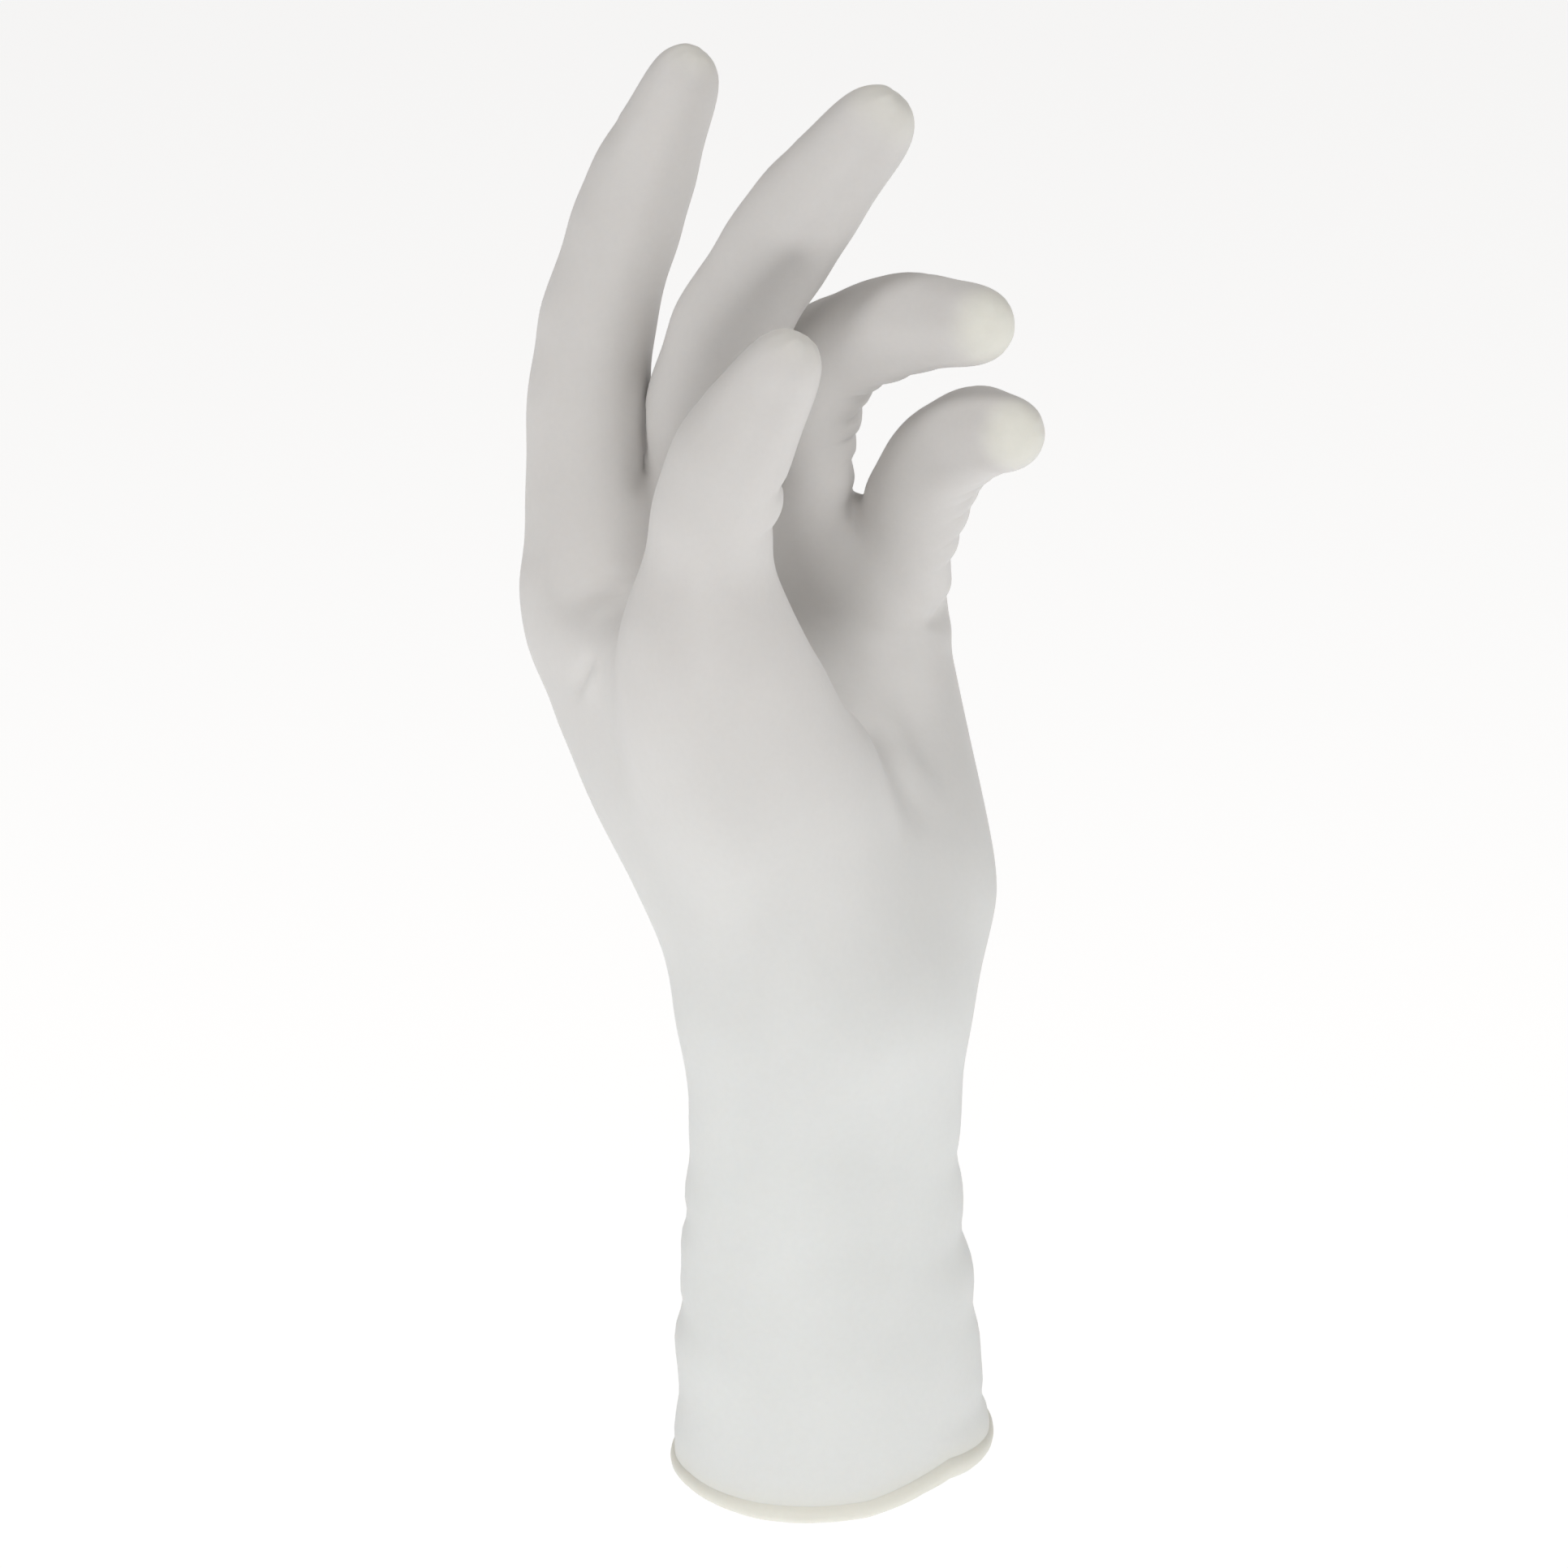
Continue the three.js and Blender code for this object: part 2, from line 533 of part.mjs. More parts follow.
function solid(name, vertices, triangles, material) {
  const geometry = new THREE.BufferGeometry();
  geometry.setAttribute("position", new THREE.Float32BufferAttribute(vertices.flatMap((p) => p.toArray()), 3));
  geometry.setIndex(triangles.flat());
  geometry.computeVertexNormals();
  const mesh = new THREE.Mesh(geometry, material);
  mesh.name = name;
  return mesh;
}

// Cuts a facet along its shorter diagonal
function halves([a, b, c, d]) {
  const ac = points[a].distanceTo(points[c]), bd = points[b].distanceTo(points[d]);
  return ac <= bd ? [[a, b, c], [a, c, d]] : [[a, b, d], [b, c, d]];
}

const skin = quads.flatMap(halves);
caps.forEach(({ loop, tip }) => loop.forEach((corner, i) => skin.push([corner, loop[(i + 1) % loop.length], tip])));
const count = points.length;
const lining = skin.map(([a, b, c]) => [a + count, c + count, b + count]);
const edge = edgeRing.flatMap((a, i) => {
  const b = edgeRing[(i + 1) % edgeRing.length];
  return [[b, a, a + count], [b, a + count, b + count]];
});
const latex = new THREE.MeshStandardMaterial({ color: 0xdedfdc, roughness: 0.55, metalness: 0 });
const film = solid("glove_film", [...points, ...inner].map(tilted), [...skin, ...lining, ...edge], latex);

// The rolled edge: a round bead just below the film's edge
const BEAD_SIDES = 10;
const beadVertices = edgeRing.flatMap((corner) => {
  const p = points[corner];
  const out = slopeAt(HAND, p).setZ(0).normalize();
  const middle = p.clone().addScaledVector(out, BEAD_OUT - FILM / 2).setZ(0);
  return Array.from({ length: BEAD_SIDES }, (_, k) => {
    const angle = (2 * Math.PI * (k + 0.5)) / BEAD_SIDES;
    return middle
      .clone()
      .addScaledVector(out, (Math.cos(angle) * BEAD_DIAMETER) / 2)
      .setZ((Math.sin(angle) * BEAD_DIAMETER) / 2);
  });
});
const beadTriangles = [];
edgeRing.forEach((_, i) => {
  const j = (i + 1) % edgeRing.length;
  for (let k = 0; k < BEAD_SIDES; k += 1) {
    const l = (k + 1) % BEAD_SIDES;
    const a = i * BEAD_SIDES + k, b = j * BEAD_SIDES + k, c = j * BEAD_SIDES + l, d = i * BEAD_SIDES + l;
    beadTriangles.push([a, b, c], [a, c, d]);
  }
});
const rolled = new THREE.MeshStandardMaterial({ color: 0xe2e3d2, roughness: 0.5, metalness: 0 });
const bead = solid("cuff_bead", beadVertices.map(tilted), beadTriangles, rolled);

const group = new THREE.Group();
group.name = "surgical_glove";
group.add(film, bead);
export default group;
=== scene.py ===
# The looks of the surgical glove: a smooth thin latex film over the CAD film, with the folds
# that bending makes, its rolled edge, and the photograph's camera with soft studio light.
# Lengths are in millimetres up to the point where a mesh is made, unless a comment says metres.
# All places are in the CAD frame: z up the cuff, x to the photograph's right, y away from its viewer.
import math

import bmesh
import bpy
import numpy as np
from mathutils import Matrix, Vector, noise


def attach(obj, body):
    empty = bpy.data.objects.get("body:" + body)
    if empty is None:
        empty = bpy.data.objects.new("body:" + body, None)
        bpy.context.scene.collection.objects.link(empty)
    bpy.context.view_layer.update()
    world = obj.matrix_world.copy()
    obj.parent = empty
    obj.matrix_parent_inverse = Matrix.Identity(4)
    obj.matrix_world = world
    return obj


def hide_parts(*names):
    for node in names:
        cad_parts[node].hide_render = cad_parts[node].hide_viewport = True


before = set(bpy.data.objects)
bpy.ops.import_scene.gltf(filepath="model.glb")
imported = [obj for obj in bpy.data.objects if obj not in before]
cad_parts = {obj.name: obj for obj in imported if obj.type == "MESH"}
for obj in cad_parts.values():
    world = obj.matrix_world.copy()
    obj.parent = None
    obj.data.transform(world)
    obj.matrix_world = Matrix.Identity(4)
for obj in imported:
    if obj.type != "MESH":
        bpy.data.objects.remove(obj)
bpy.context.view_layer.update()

MM = 0.001

# Camera: place, downward tilt in degrees, and lens for the photograph's square picture
CAMERA_AT = (-8.6, -1105.2, 481.7)
CAMERA_DOWN = 18
CAMERA_LENS = 156.5
CAMERA_SENSOR = 36
CAMERA_CLIP = (0.05, 50)  # nearest and furthest that it sees, in metres

# Smooth film over the CAD film's outer skin
MERGE = 0.01  # vertices this near are one
CUT_FACING = -0.8  # the cut edge's faces point down more than this
CUT_HEIGHT = 8  # and lie below this height
EVEN_ROUNDS = 4  # rounds that smooth the ripples
EVEN_SHARES = (0.5, -0.53)  # in each round vertices move towards their neighbours, then away again
FIT_ROUNDS = 2  # rounds that lead the subdivided film back through the skin's points
LEVELS = 2  # levels of subdivision
REFINE_REACH = 4  # faces this near to a narrow fold or crease are cut finer
NARROW_FOLD = 2.2  # widths below this count as narrow

# Film and rolled edge at the mouth
WALL = 0.4  # thickness that shows
CALM_HEIGHT = 5  # the film's folds fade out over this height above its edge
FLARE_OUT = 0.35  # how far the film leans out where it meets the rolled edge
FLARE_HEIGHT = 3.5  # height over which the lean fades by a factor of e
LIFT_HEIGHT = 9  # the same for the edge's lift
TUCK = 1.2  # how far the film goes down into the rolled edge
BEAD_DROP = 0.85  # from the film's edge down to the rolled edge's middle, in its radii
BEAD_IN = 0.6  # how far that middle lies inside the film's edge, in its radii
BEAD_SIDES = 16

# Uneven radius of the rolled edge. size: of the waves. share: of the radius. shift: of the noise.
BEAD_WAVES = [
    {"size": 14, "share": 0.07, "shift": (0, 0, 0)},
    {"size": 5, "share": 0.04, "shift": (9, 0, 0)},
]

# Round the mouth. side: degrees from the photograph's right edge towards the back.
# lift: of the film's edge. radius: of the rolled edge.
RIM = [
    {"side": -180, "lift": 1.3, "radius": 1.8},
    {"side": -150, "lift": 2.0, "radius": 1.8},
    {"side": -120, "lift": 1.1, "radius": 1.85},
    {"side": -90, "lift": 0.6, "radius": 1.95},
    {"side": -75, "lift": 0.4, "radius": 2.0},
    {"side": -50, "lift": 2.0, "radius": 2.2},
    {"side": -35, "lift": 2.8, "radius": 2.6},
    {"side": -15, "lift": 1.0, "radius": 2.4},
    {"side": 0, "lift": -0.3, "radius": 1.9},
    {"side": 90, "lift": 0.3, "radius": 1.8},
    {"side": 180, "lift": 1.3, "radius": 1.8},
]

# The digits' joints, from knuckle to the middle of the tip, and the half width at each
DIGITS = {
    "little": [(9, 47, 139, 8.8), (16, 34, 170, 8.2), (24, 18, 180, 7.4), (29, 5, 183, 6.4)],
    "ring": [(-8, 42, 143, 9.0), (-4, 41, 186, 8.9), (11, 23, 198, 8.1), (23, 8, 201, 6.8)],
    "middle": [(-25, 35, 145, 10.0), (-21, 28, 191, 9.4), (-7, 24, 215, 8.9), (6, 20, 232, 7.2)],
    "index": [(-44, 23, 146, 10.5), (-42, 37, 189, 9.7), (-34, 41, 215, 8.9), (-25, 42, 236, 6.3)],
    "thumb": [(-9, -6, 107, 14.9), (-22, -14, 150, 11.5), (-19, -18, 182, 10.3), (-8, -19, 201, 6.6)],
}
CORNER_CUT = 0.25  # share of each step that is cut off at a line's corners
OWN_HEIGHT = 4  # a digit's own points lie no further than this outside its half width
OWN_FADE = 2  # distance over which its share fades there and halfway to the next digit

# Creases across the inner side of a bent digit, with a bulge of film between each two.
# bulge: height from crease to top. creases: places from the digit's first joint.
# facing: where their middles face. reach: degrees to each side of that.
BELLOWS = [
    {
        "digit": "ring",
        "bulge": 1.1,
        "facing": (0.8, -0.2, -0.6),
        "reach": 38,
        "creases": [20, 27.5, 32.5, 38.5, 47.5, 56, 65.5, 77.5],
    },
    {
        "digit": "little",
        "bulge": 0.9,
        "facing": (0.9, -0.1, -0.4),
        "reach": 45,
        "creases": [6.5, 16, 22, 30, 36.5, 43, 50.5],
    },
    {
        "digit": "thumb",
        "bulge": 1.4,
        "facing": (1, -0.1, 0),
        "reach": 40,
        "creases": [70.5, 79],
    },
]
CREASE_SINK = 0.5  # share of the bulge by which a crease lies below the skin
CREASE_FADE = 1.5  # distance over which the first and last crease fade by a factor of e
CREASE_FULL = 0.3  # share of the reach up to which creases have their full depth
CREASE_END = 1.4  # share of the reach at which they end
CREASE_OWN = 0.1  # least share of a digit's own for a point that counts as near its creases

# Folds along lines on the skin. depth: of the groove, or of a ridge where it is below zero.
# ridge: height of the soft swell on both sides.
FOLDS = [
    {  # through the thumb's web
        "depth": 1.0,
        "width": 1.3,
        "ridge": 0.1,
        "line": [(-38.5, 2.5, 145), (-41, 4, 142), (-42.5, 5.5, 139.5), (-45, 8, 136)],
    },
    {  # the ridge beside it
        "depth": -0.5,
        "width": 1.4,
        "ridge": 0,
        "line": [(-38.8, 1.5, 143), (-40.6, 3, 140.6), (-42.6, 5, 137.4)],
    },
    {  # down the thumb's outer side
        "depth": 0.3,
        "width": 3.5,
        "ridge": 0.15,
        "line": [(-34, -23, 157), (-34, -23, 152), (-34, -23, 149), (-34, -22, 145)],
    },
    {  # between index and middle finger
        "depth": 0.7,
        "width": 1.2,
        "ridge": 0.1,
        "line": [(-32, 29, 182), (-32, 29, 177), (-32, 28, 172)],
    },
    {  # past the ball of the thumb
        "depth": 1.2,
        "width": 3.4,
        "ridge": 0.6,
        "line": [(0, 20, 134), (4, 13, 131), (9, 3, 127), (13, 2, 119), (16, 0, 112)],
    },
    {  # across the palm under the little finger
        "depth": 1.1,
        "width": 2.0,
        "ridge": 0.3,
        "line": [(22, 48, 142), (21, 43, 141), (18, 38, 141), (14, 35, 141)],
    },
    {  # across the thumb, under its end
        "depth": 0.3,
        "width": 2.5,
        "ridge": 0.1,
        "line": [(-20, -22, 196), (-15, -25, 198), (-9, -26, 197), (-5, -23, 196)],
    },
]
FOLD_ENDS = 0.3  # share of a fold's length over which each end fades
RIDGE_AT = 2.2  # distance of the soft swells' tops from the groove, in its widths
SAME_SIDE = 0.4  # a fold has its full depth where the skin faces its way by this much or more

# Places where the film stands out further than the CAD film, or lies closer where height is
# below zero, fading over the reach
SWELLS = [
    {"at": (-37, 9, 148), "height": 3.8, "reach": 9},  # the thumb's web
    {"at": (2, 37, 166), "height": 1.3, "reach": 4},  # between ring and little finger
    {"at": (3, 43, 160), "height": 1.2, "reach": 3.5},
    {"at": (-32.5, 30, 173), "height": 0.5, "reach": 4},  # between index and middle finger
    {"at": (-32, 30, 182), "height": 0.5, "reach": 11},
    {"at": (-22, 39, 240), "height": -1.3, "reach": 6},  # the index finger's end
    {"at": (-7, -21, 207), "height": -1.5, "reach": 7},  # the thumb's end
    {"at": (-54, 19, 150), "height": -0.9, "reach": 9},  # the index finger's knuckle
    {"at": (-9, -22, 170), "height": -1.6, "reach": 13},  # the thumb's inner side
]

# Folds round the loose cuff. side: degrees from the photograph's right edge towards the back.
# height: above the mouth. drop: of the notch. tall, wide: over which it fades, in height and degrees.
CUFF_FOLDS = [
    {"side": 182, "height": 57, "drop": 0.35, "tall": 3.0, "wide": 32},
    {"side": 180, "height": 46.5, "drop": 0.9, "tall": 2.2, "wide": 30},
    {"side": 184, "height": 29, "drop": 1.0, "tall": 2.4, "wide": 30},
    {"side": 178, "height": 12, "drop": 0.4, "tall": 3.5, "wide": 30},
    {"side": 2, "height": 53.5, "drop": 0.7, "tall": 2.8, "wide": 34},
    {"side": -4, "height": 39.5, "drop": 0.8, "tall": 2.8, "wide": 32},
    {"side": 4, "height": 25.5, "drop": 0.5, "tall": 2.6, "wide": 32},
    {"side": 0, "height": 8, "drop": 0.9, "tall": 2.2, "wide": 36},
    {"side": 95, "height": 50, "drop": 0.5, "tall": 3.4, "wide": 40},
    {"side": 70, "height": 34, "drop": 0.5, "tall": 3.6, "wide": 45},
    {"side": 115, "height": 21, "drop": 0.5, "tall": 3.4, "wide": 40},
]
NOTCH_POWER = 1.5  # how pointed a notch is: less is more pointed
SAG = {"share": 0.55, "down": 2.4, "tall": 1.7}  # swell under a notch, in its drop and its tall
CUFF_TOP = 72  # the cuff's folds end here
CUFF_FADE = 8  # and fade over this height below it

# Soft uneven swells. size: along x, y and z. shift: of the noise. cuff, hand: their heights there.
UNEVEN = [
    {"size": (24, 24, 11), "shift": 7.3, "cuff": 0.4, "hand": 0.1},
    {"size": (9, 9, 7), "shift": 31.7, "cuff": 0.08, "hand": 0.03},
]
LOOSE_TOP = 95  # the film lies as on the hand from here up
LOOSE_FADE = 30  # and turns loose over this height below it

# Nails. height: of each digit's imprint. angle: degrees from the digit's inner line between
# which it rises.
NAILS = {"little": 0.15, "ring": 0.15, "middle": 0.2, "index": 0.2, "thumb": 0.2}
NAIL_ANGLE = (105, 135)
NAIL_LENGTH = 12
NAIL_FADE = 1.5

# Colours of the latex
COOL = (0.80, 0.82, 0.81, 1)  # loose film of the cuff
WARM = (0.70, 0.685, 0.67, 1)  # darker and warmer film higher up the hand and on the digits
THICK_AND_EDGE_SHADE = (0.82, 0.815, 0.74, 1)  # rolled edge and fingertips, where latex is thicker, and the painted shade band just above the rolled edge
COOL_BELOW = 50  # heights between which the film turns from cool to warm
WARM_ABOVE = 165
THICK_TIPS = {"little": 0.9, "ring": 0.9, "middle": 0.5, "index": 0.5, "thumb": 0.3}
THICK_TIP_LENGTH = 7
# painted shade: a soft warm band on the film just above the rolled edge, in the thick colour
PAINTED_EDGE_SHADE = 0.5
PAINTED_EDGE_SHADE_HEIGHT = 2  # height over which it fades by a factor of e

# Unevenness of the latex. per_metre: patches to a metre. low, high: between which its value lies.
CLOUDS = {"per_metre": 45, "detail": 3, "low": 0.965, "high": 1.0}
SPECKS = {"per_metre": 900, "detail": 2, "low": 0.985, "high": 1.0}
FILM_GLOSS = {"per_metre": 160, "detail": 3, "low": 0.5, "high": 0.62}
BEAD_GLOSS = {"per_metre": 160, "detail": 3, "low": 0.45, "high": 0.58}
NOISE_RANGE = (0.3, 0.7)  # values that noise mostly keeps between
DIMPLES = {"per_metre": 260, "detail": 2, "strength": 0.25, "distance": 0.0002}  # metres
GRAIN = {"per_metre": 2600, "detail": 2, "strength": 0.2, "distance": 0.00004}
LATEX = {
    "Specular IOR Level": 0.4,
    "Subsurface Weight": 0.15,
    "Subsurface Radius": (1.0, 0.8, 0.65),
    "Subsurface Scale": 0.0006,
    "Sheen Weight": 0.08,
}

# Floor and light. Places and sizes of lights and the floor's reach are in metres.
FLOOR_Z = -100
FLOOR_REACH = 6
FLOOR = {
    "Base Color": (0.4, 0.4, 0.4, 1),
    "Roughness": 0.8,
    "Emission Color": (1, 1, 1, 1),
    "Emission Strength": 0.8,
}
LIGHTS = [
    {"name": "key", "at": (-0.07, -1.22, -0.12), "size": 0.38, "watts": 8.6},
    {"name": "left", "at": (-0.78, -0.21, 1.08), "size": 0.45, "watts": 4.6},
    {"name": "right", "at": (0.77, -0.21, 1.08), "size": 0.45, "watts": 4.8},
]
LIGHTS_AIM = (-0.009, 0, 0.12)
ROOM = (0.2, 0.185, 0.17, 1)  # dim and warm, above and in front
BACKDROP = (0.5, 0.5, 0.5, 1)  # bright, behind and beside the glove
BACKDROP_FADES = {"Z": (0.4, 0.03), "Y": (-0.3, 0.1)}  # directions between which it takes over


# Meshes
def link(name, data):
    item = bpy.data.objects.new(name, data)
    bpy.context.collection.objects.link(item)
    return item


def outer_skin():
    """The outer skin of the CAD film in four-sided faces, without its lining and its cut edge."""
    skin = bmesh.new()
    skin.from_mesh(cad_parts["glove_film"].data)
    bmesh.ops.remove_doubles(skin, verts=skin.verts, dist=MERGE * MM)
    skin.normal_update()
    low_faces = [f for f in skin.faces if f.calc_center_median().z < CUT_HEIGHT * MM]
    cut = [f for f in low_faces if f.normal.z < CUT_FACING]
    bmesh.ops.delete(skin, geom=cut, context="FACES_ONLY")
    islands = []
    left = set(skin.faces)
    while left:
        island = set()
        waiting = [left.pop()]
        while waiting:
            face = waiting.pop()
            island.add(face)
            for edge in face.edges:
                for other in edge.link_faces:
                    if other in left:
                        left.remove(other)
                        waiting.append(other)
        islands.append(island)
    largest = max(islands, key=lambda island: sum(f.calc_area() for f in island))
    lining = [f for f in skin.faces if f not in largest]
    bmesh.ops.delete(skin, geom=lining, context="FACES")
    loose = [v for v in skin.verts if not v.link_faces]
    bmesh.ops.delete(skin, geom=loose, context="VERTS")
    bmesh.ops.join_triangles(
        skin,
        faces=skin.faces,
        angle_face_threshold=math.pi,
        angle_shape_threshold=math.pi,
    )
    return skin


def vertex_values(mesh, name):
    flat = np.empty(len(mesh.vertices) * 3)
    mesh.vertices.foreach_get(name, flat)
    return flat.reshape(-1, 3)


def points_of(mesh):
    return vertex_values(mesh, "co")


def normals_of(mesh):
    return vertex_values(mesh, "normal")


def set_points(mesh, points):
    mesh.vertices.foreach_set("co", points.ravel())
    mesh.update()


def subdivided(piece, levels):
    """A new mesh of the piece, subdivided, whose first vertices are the piece's own."""
    rounds = piece.modifiers.new("subdivision", "SUBSURF")
    rounds.levels = levels
    rounds.render_levels = levels
    graph = bpy.context.evaluated_depsgraph_get()
    mesh = bpy.data.meshes.new_from_object(piece.evaluated_get(graph))
    piece.modifiers.remove(rounds)
    return mesh


def rim_loop(mesh):
    """The open edge's vertices in their order round the mouth."""
    counts = {}
    for polygon in mesh.polygons:
        for pair in polygon.edge_keys:
            counts[pair] = counts.get(pair, 0) + 1
    beside = {}
    for (a, b), uses in counts.items():
        if uses == 1:
            beside.setdefault(a, []).append(b)
            beside.setdefault(b, []).append(a)
    start = min(beside)
    loop = [start, beside[start][0]]
    while True:
        ahead = [v for v in beside[loop[-1]] if v != loop[-2]]
        if ahead[0] == start:
            break
        loop.append(ahead[0])
    return loop


def evened(mesh, points):
    """The points with their ripples smoothed out, without making the form smaller."""
    edges = np.array([e.vertices[:] for e in mesh.edges])
    uses = np.bincount(edges.ravel(), minlength=len(points))
    rim = rim_loop(mesh)
    for _ in range(EVEN_ROUNDS):
        for share in EVEN_SHARES:
            total = np.zeros_like(points)
            np.add.at(total, edges[:, 0], points[edges[:, 1]])
            np.add.at(total, edges[:, 1], points[edges[:, 0]])
            step = share * (total / uses[:, None] - points)
            step[rim] = 0
            points = points + step
    return points


def smooth_film():
    """The outer skin, subdivided so that it still passes near the CAD skin's points."""
    skin = outer_skin()
    cage = bpy.data.meshes.new("cage")
    skin.to_mesh(cage)
    skin.free()
    piece = link("glove_latex", cage)
    wanted = evened(cage, points_of(cage))
    for _ in range(FIT_ROUNDS):
        trial = subdivided(piece, 1)
        shrunk = points_of(trial)[: len(wanted)]
        set_points(cage, points_of(cage) + wanted - shrunk)
        bpy.data.meshes.remove(trial)
    piece.data = subdivided(piece, LEVELS)
    bpy.data.meshes.remove(cage)
    return piece


def refine(piece, near):
    """Cuts the faces whose vertices are all near a fold into four."""
    work = bmesh.new()
    work.from_mesh(piece.data)
    work.verts.ensure_lookup_table()
    edges = [e for e in work.edges if near[e.verts[0].index] and near[e.verts[1].index]]
    bmesh.ops.subdivide_edges(work, edges=edges, cuts=1, use_grid_fill=True, smooth=0)
    work.to_mesh(piece.data)
    work.free()


def add_float(mesh, name, values):
    layer = mesh.attributes.new(name, "FLOAT", "POINT")
    layer.data.foreach_set("value", values.astype(np.float32))


# Where a point lies on the glove's form
def unit(vectors):
    return vectors / np.maximum(np.linalg.norm(vectors, axis=-1, keepdims=True), 1e-9)


def smooth_share(values, low, high):
    """0 below low, 1 above high, and a smooth rise between."""
    t = np.clip((values - low) / (high - low), 0, 1)
    return t * t * (3 - 2 * t)


def rounded(corners, rounds):
    """The line through the corners with its corners cut off, and any further columns along it."""
    line = np.array(corners, float)
    for _ in range(rounds):
        near = (1 - CORNER_CUT) * line[:-1] + CORNER_CUT * line[1:]
        far = CORNER_CUT * line[:-1] + (1 - CORNER_CUT) * line[1:]
        middle = np.stack([near, far], 1).reshape(-1, line.shape[1])
        line = np.vstack([line[:1], middle, line[-1:]])
    return line


def nearest_on(line, points):
    """Each point's distance to a line, how far along it that is, the place there and its heading."""
    best = np.full(len(points), np.inf)
    along = np.zeros(len(points))
    foot = np.zeros((len(points), 3))
    heading = np.zeros((len(points), 3))
    gone = 0
    for start, end in zip(line[:-1], line[1:]):
        step = end - start
        length = np.linalg.norm(step)
        share = np.clip((points - start) @ step / length**2, 0, 1)
        place = start + share[:, None] * step
        away = np.linalg.norm(points - place, axis=1)
        nearer = away < best
        best[nearer] = away[nearer]
        along[nearer] = gone + share[nearer] * length
        foot[nearer] = place[nearer]
        heading[nearer] = step / length
        gone += length
    return best, along, foot, heading


def across(vectors, heading):
    """The directions of the vectors, seen along the heading."""
    return unit(vectors - np.sum(vectors * heading, axis=1)[:, None] * heading)


def degrees_between(first, second):
    """Degrees between pairs of unit vectors."""
    return np.degrees(np.arccos(np.clip(np.sum(first * second, axis=1), -1, 1)))


def digit_places(points):
    """Where the points lie on each digit, as a dictionary for each.

    along: place on its middle line. out: direction from that line. angle: degrees between out and
    the digit's inner side. past: distance beyond the line's end. total: the line's length.
    own: 1 for the digit's own points, 0 for points that belong elsewhere.
    """
    places = {}
    depths = []
    for name, joints in DIGITS.items():
        line = rounded(joints, 3)
        middle = line[:, :3]
        away, along, foot, heading = nearest_on(middle, points)
        steps = np.linalg.norm(np.diff(middle, axis=0), axis=1)
        half = np.interp(along, np.concatenate([[0], np.cumsum(steps)]), line[:, 3])
        inner = across((middle[0] + middle[-1]) / 2 - middle[len(middle) // 2], heading)
        out = across(points - foot, heading)
        places[name] = {
            "along": along,
            "out": out,
            "angle": degrees_between(out, inner),
            "past": np.sum((points - foot) * heading, axis=1),
            "total": steps.sum(),
        }
        depths.append(away - half)
    depths = np.array(depths)
    for i, place in enumerate(places.values()):
        others = np.delete(depths, i, axis=0).min(axis=0)
        nearest = smooth_share(others - depths[i], 0, OWN_FADE)
        place["own"] = nearest * smooth_share(OWN_HEIGHT - depths[i], 0, OWN_FADE)
    return places


def crease_angle(row, place):
    """Degrees round the digit from the middle of its creases."""
    return degrees_between(place["out"], unit(np.array(row["facing"], float)))


def near_folds(points):
    """Marks the points that lie near a narrow fold or crease."""
    near = np.zeros(len(points), bool)
    for fold in FOLDS:
        if fold["width"] < NARROW_FOLD:
            near |= nearest_on(np.array(fold["line"], float), points)[0] < REFINE_REACH
    places = digit_places(points)
    for row in BELLOWS:
        place = places[row["digit"]]
        inside = place["along"] > row["creases"][0] - REFINE_REACH
        inside &= place["along"] < row["creases"][-1] + REFINE_REACH
        inside &= crease_angle(row, place) < CREASE_END * row["reach"]
        near |= inside & (place["own"] > CREASE_OWN)
    return near


# Displacements along the normals
def crease_depths(places):
    moved = np.zeros(len(places["ring"]["along"]))
    for row in BELLOWS:
        place = places[row["digit"]]
        creases = np.array(row["creases"], float)
        along = place["along"]
        gap = np.clip(np.searchsorted(creases, along), 1, len(creases) - 1)
        share = np.clip((along - creases[gap - 1]) / (creases[gap] - creases[gap - 1]), 0, 1)
        past = np.maximum(creases[0] - along, 0) + np.maximum(along - creases[-1], 0)
        shape = (4 * share * (1 - share) - CREASE_SINK) * np.exp(-past / CREASE_FADE)
        inside = -crease_angle(row, place) / row["reach"]
        shape *= smooth_share(inside, -CREASE_END, -CREASE_FULL)
        moved += row["bulge"] * shape * place["own"]
    return moved


def fold_depths(points, normals):
    moved = np.zeros(len(points))
    for fold in FOLDS:
        line = rounded(fold["line"], 2)
        away, along, _, _ = nearest_on(line, points)
        total = np.linalg.norm(np.diff(line, axis=0), axis=1).sum()
        fade = FOLD_ENDS * total
        ends = smooth_share(along, 0, fade) * smooth_share(total - along, 0, fade)
        closest = [np.argmin(np.linalg.norm(points - place, axis=1)) for place in line]
        facing = unit(normals[closest].mean(axis=0))
        same_side = smooth_share(normals @ facing, 0, SAME_SIDE)
        ratio = away / fold["width"]
        swell = fold["ridge"] * np.exp(-((ratio - RIDGE_AT) ** 2))
        groove = fold["depth"] * np.exp(-(ratio**2))
        moved += (swell - groove) * ends * same_side
    return moved


def cuff_depths(points, normals):
    side = np.degrees(np.arctan2(normals[:, 1], normals[:, 0]))
    moved = np.zeros(len(points))
    for fold in CUFF_FOLDS:
        turn = (side - fold["side"] + 180) % 360 - 180
        up = (points[:, 2] - fold["height"]) / fold["tall"]
        sag = SAG["share"] * np.exp(-(((up + SAG["down"]) / SAG["tall"]) ** 2))
        notch = np.exp(-np.abs(up) ** NOTCH_POWER) - sag
        moved -= fold["drop"] * notch * np.exp(-((turn / fold["wide"]) ** 2))
    return moved * smooth_share(CUFF_TOP - points[:, 2], 0, CUFF_FADE)


def noise_at(points, size, shift):
    """Smooth noise from about -1 to 1, whose swells have the sizes given for x, y and z."""
    scaled = points / np.array(size) + shift
    return np.array([noise.noise(Vector(p)) for p in scaled])


